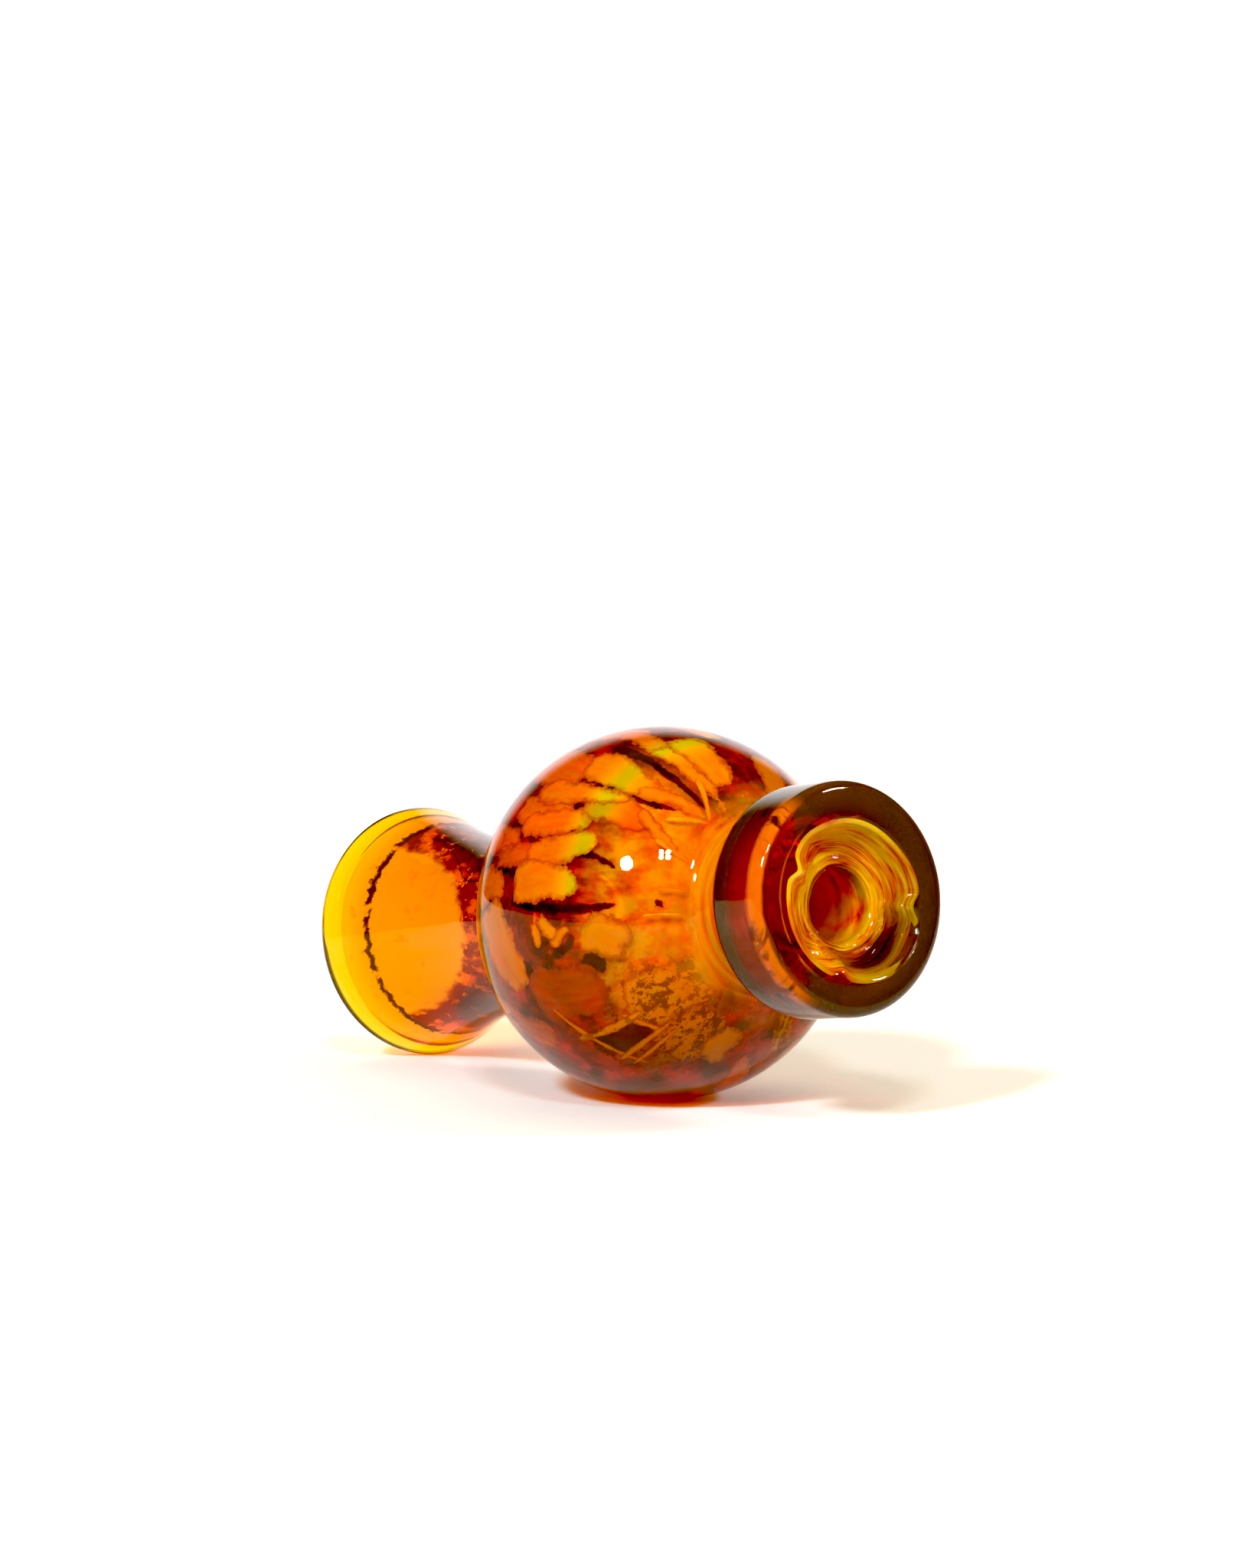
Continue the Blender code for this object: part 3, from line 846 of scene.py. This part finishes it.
def build_stem_pattern():
    stem = profile_rings(flare_line(lambda x: STEM_FILM_DEPTH, *STEM_FILM_ENDS, 44), 0.04, 2.6)
    mesh = grid_mesh("stem_pattern", stem, False)
    add_piece("stem_pattern", mesh, stem_material(), "stem_pattern", "stem_lining")


def build_ring_layer():
    layer = profile_rings(COLLAR_LAYER, 0.0, 0.0)
    add_piece("collar_layer", grid_mesh("collar_layer", layer, False), ring_tint(), "collar_glass")


def build_neck_film():
    """Orange rings under the surface where the bubble runs out into the neck."""
    nx, nr, polar = blend_arc(BUBBLE_R, NECK_R, NECK_FILLET, 1)
    line = arc(0, 0, BUBBLE_R - NECK_FILM_DEPTH, 46, polar, 10)[:-1]
    line += arc(nx, nr, NECK_FILLET + NECK_FILM_DEPTH, 180 + polar, 270, 12)
    line += [(x, NECK_R - NECK_FILM_DEPTH) for x in NECK_FILM_ENDS]
    film = profile_rings(line, 0.03, 5.0)
    add_piece("neck_film", grid_mesh("neck_film", film, False), neck_material(), "neck_glass")


def mouth_shadow(theta, s):
    """How dark the mouth's film is: in a crescent on one side, in the lower part and in the throat."""
    crescent = 1.2 * bump(theta, -58, 34) * math.exp(-((s - 0.40) / 0.17) ** 2)
    lower = 0.42 * bump(theta, -40, 62) * (1 - clip(s - 0.3))
    throat = 0.35 * clip((s - 0.97) * 12)
    return np.minimum(1.0, np.maximum(crescent + lower, throat))


def build_mouth_film():
    """A streaked film just under the folds, which runs on down the throat."""
    theta = angles()
    edge = mouth_edge(theta)
    folds = [circle(COLLAR_FACE_X - MOUTH_FILM_EDGE, edge + MOUTH_FILM_EDGE, theta)]
    folds += funnel_rings(theta, edge)
    folds += [circle(x, THROAT_R, theta) for x in MOUTH_FILM_THROAT]
    rings, leaf, shadow = [], [], []
    for i, (x, y, w) in enumerate(folds):
        s = i / (FUNNEL_STEPS - 1)
        rings.append((x - MOUTH_FILM_DEPTH, y + MOUTH_FILM_DEPTH * np.cos(theta),
                      w + MOUTH_FILM_DEPTH * np.sin(theta)))
        wound = theta - math.radians(FUNNEL_TWIST * s)
        leaf.append(np.stack([np.cos(wound), np.sin(wound), np.full(SIDES, s)], axis=1))
        shadow.append(mouth_shadow(theta, s))
    mesh = grid_mesh("mouth_film", rings, False)
    set_values(mesh, "leaf", "FLOAT_VECTOR", np.concatenate(leaf))
    set_values(mesh, "shadow", "FLOAT", np.concatenate(shadow))
    add_piece("mouth_film", mesh, mouth_material(), "swirl_glass")


def build_floor():
    bpy.ops.mesh.primitive_grid_add(x_subdivisions=4, y_subdivisions=4, size=FLOOR_SIZE, location=(0, 0, 0))
    floor = bpy.context.object
    floor.name = "floor"
    floor.data.materials.append(floor_material())


# ---------------------------------------------------------------- camera and light

# Degrees between the cap's axis and the way to the camera, and above the floor. The rest is in metres.
VIEW_TURN = 36.5
VIEW_RISE = 4.6
VIEW_DISTANCE = 0.400
AIM_SIDE = -0.0031
AIM_RISE = 0.0110
LENS = 107.6

# Brightness of the room around, of the backdrop, of the ceiling softbox and of the side panel.
ROOM = 0.12
BACKDROP = 1.25
OVERHEAD = 0.56
PANEL = 0.52
# Where each of them begins and where it is full: the cosine of the angle from its middle.
BACKDROP_EDGE = (0.78, 0.94)
OVERHEAD_EDGE = (0.48, 0.95)
PANEL_EDGE = (0.50, 0.85)
WARM_WHITE = (1.0, 0.93, 0.66)
COOL_WHITE = (0.96, 0.98, 1.0)
PETALS = 4
PETAL_SPREAD = 0.055

BLACK_LEVEL = (0.027, 0.030, 0.046)
WHITE_LEVEL = (0.90, 0.90, 0.90)
GLASS_BOUNCES = 16
SHEET_BOUNCES = 18


def add_camera():
    """Sets the camera, and returns its back, right and up."""
    turn, rise = math.radians(VIEW_TURN), math.radians(VIEW_RISE)
    back = Vector((math.cos(turn) * math.cos(rise), -math.sin(turn) * math.cos(rise), math.sin(rise)))
    right = Vector((math.sin(turn), math.cos(turn), 0.0))
    up = back.cross(right)
    data = bpy.data.cameras.new("camera")
    data.lens = LENS
    data.sensor_fit = "VERTICAL"
    data.sensor_height = 36.0
    data.clip_start = 0.01
    data.clip_end = 100.0
    camera = bpy.data.objects.new("camera", data)
    bpy.context.scene.collection.objects.link(camera)
    place = CENTRE + right * AIM_SIDE + up * AIM_RISE + back * VIEW_DISTANCE
    facing = Matrix((right, up, back)).transposed().to_4x4()
    camera.matrix_world = Matrix.Translation(place) @ facing
    bpy.context.scene.camera = camera
    return back, right, up


def add_world(back, right):
    """A dim room with a bright white backdrop behind the cap, a warm softbox overhead and a warm panel
    beside it. What the camera sees directly is plain white."""
    world = bpy.data.worlds.new("studio")
    bpy.context.scene.world = world
    t = Tree(world)
    way = t.add("ShaderNodeTexCoord").outputs["Generated"]
    behind = Vector((-back.x, -back.y, 0.0)).normalized()
    share = t.smooth(t.dot(way, tuple(behind)), *BACKDROP_EDGE)
    wall = t.math("MULTIPLY_ADD", share, BACKDROP - ROOM, ROOM)
    roof = t.smooth(t.parts(way)[2], *OVERHEAD_EDGE, OVERHEAD)
    panel = t.smooth(t.dot(way, tuple(right)), *PANEL_EDGE, PANEL)
    light = t.math("MAXIMUM", t.math("MAXIMUM", wall, roof), panel)
    colour = t.mix(share, WARM_WHITE, WHITE)
    room = t.add("ShaderNodeBackground", {"Color": colour, "Strength": light}).outputs[0]
    seen = t.add("ShaderNodeBackground", {"Color": (*WHITE, 1.0), "Strength": 1.0}).outputs[0]
    path = t.add("ShaderNodeLightPath").outputs["Is Camera Ray"]
    t.add("ShaderNodeOutputWorld", {"Surface": t.mix_shader(path, room, seen)})


def add_light(name, kind, power):
    data = bpy.data.lights.new(name, kind)
    data.energy = power
    lamp = bpy.data.objects.new(name, data)
    bpy.context.scene.collection.objects.link(lamp)
    return lamp


def add_lamp(name, place, size, power):
    """A round lamp that faces the centre of the bubble."""
    lamp = add_light(name, "AREA", power)
    lamp.data.shape = "DISK"
    lamp.data.size = size
    lamp.location = place
    lamp.rotation_euler = (CENTRE - Vector(place)).to_track_quat("-Z", "Y").to_euler()


def add_sun(name, way, angle, power, colour):
    """A far lamp in the direction way, which lights the whole surface evenly."""
    lamp = add_light(name, "SUN", power)
    lamp.data.angle = math.radians(angle)
    lamp.data.color = colour
    lamp.rotation_euler = way.to_track_quat("Z", "Y").to_euler()
    return lamp


def add_lamps(back, right, up):
    """A key sun, a wide soft sun that leaves no reflection, a side lamp, and four small lamps in a ring."""
    add_sun("key", back * 0.9 + up * 0.60 - right * 0.42, angle=7.5, power=2.8, colour=COOL_WHITE)
    top = add_sun("top", up * 1.0 - back * 0.40 + right * 0.15, angle=60.0, power=0.64, colour=WARM_WHITE)
    top.visible_glossy = False
    add_lamp("side", CENTRE + right * 1.0 + up * 0.62 + back * 0.25, size=0.16, power=5.0)
    for i in range(PETALS):
        turn = math.radians(45 + 90 * i)
        rise = up * (0.68 + PETAL_SPREAD * math.sin(turn))
        reach = right * (0.02 + PETAL_SPREAD * math.cos(turn))
        add_lamp(f"petal_{i}", CENTRE + back * 0.9 + rise + reach, size=0.06, power=0.9)


def set_view():
    """A bright exposure, and enough bounces for light to cross the glass and its sheets."""
    scene = bpy.context.scene
    scene.view_settings.view_transform = "Standard"
    scene.view_settings.use_curve_mapping = True
    curves = scene.view_settings.curve_mapping
    curves.black_level = BLACK_LEVEL
    curves.white_level = WHITE_LEVEL
    curves.update()
    scene.cycles.max_bounces = GLASS_BOUNCES
    scene.cycles.transmission_bounces = GLASS_BOUNCES
    scene.cycles.transparent_max_bounces = SHEET_BOUNCES


def main():
    build_cap()
    build_bubble_patterns()
    build_stem_pattern()
    build_ring_layer()
    build_neck_film()
    build_mouth_film()
    build_floor()
    back, right, up = add_camera()
    add_world(back, right)
    add_lamps(back, right, up)
    set_view()


main()
